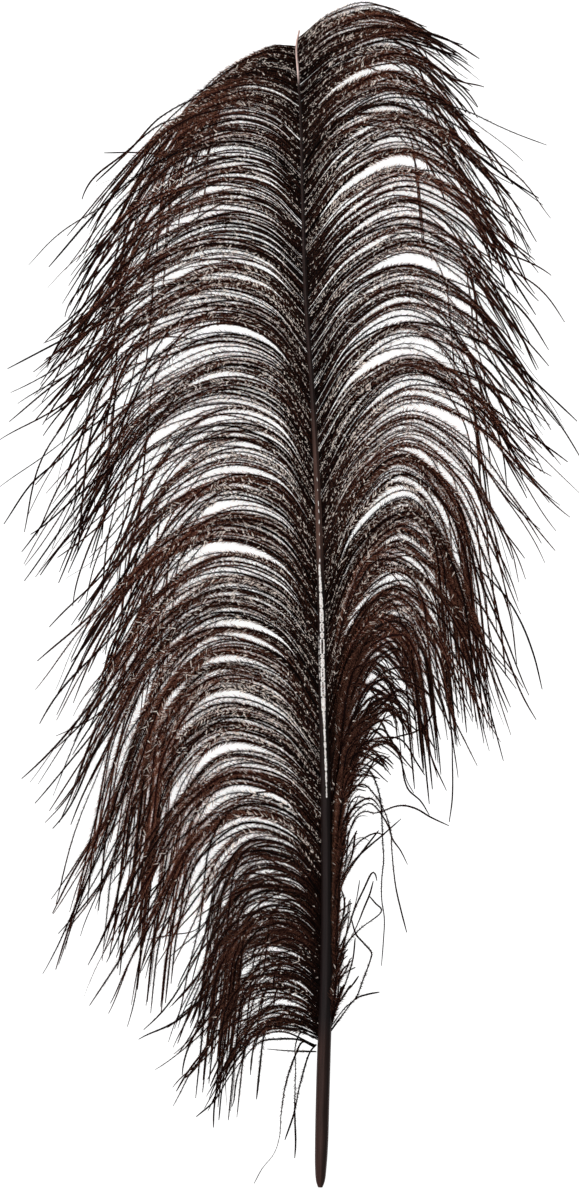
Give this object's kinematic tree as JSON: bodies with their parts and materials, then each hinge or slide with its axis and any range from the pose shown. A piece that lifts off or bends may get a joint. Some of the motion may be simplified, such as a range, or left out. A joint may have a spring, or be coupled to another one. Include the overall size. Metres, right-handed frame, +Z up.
{
  "type": "ostrich feather",
  "caption": "Long black ostrich plume lying on a surface: a bowed shaft with a bare quill, and a loose drooping vane of soft barbs on each side.",
  "frame": {"origin": "on the surface that the plume rests on, under the axis of the bare quill", "axes": "+Y from the quill towards the tip, +X to the right of the plume seen from above, +Z up from the surface"},
  "size_m": [0.3154, 0.651, 0.0318],
  "materials": {
    "barbs": "soft near-black brown barbs with a faint silky gloss",
    "shaft": "glossy dark brown keratin with a worn pale streak along the middle"
  },
  "bodies": {
    "root": {"feather": "barbs"}
  },
  "joints": []
}
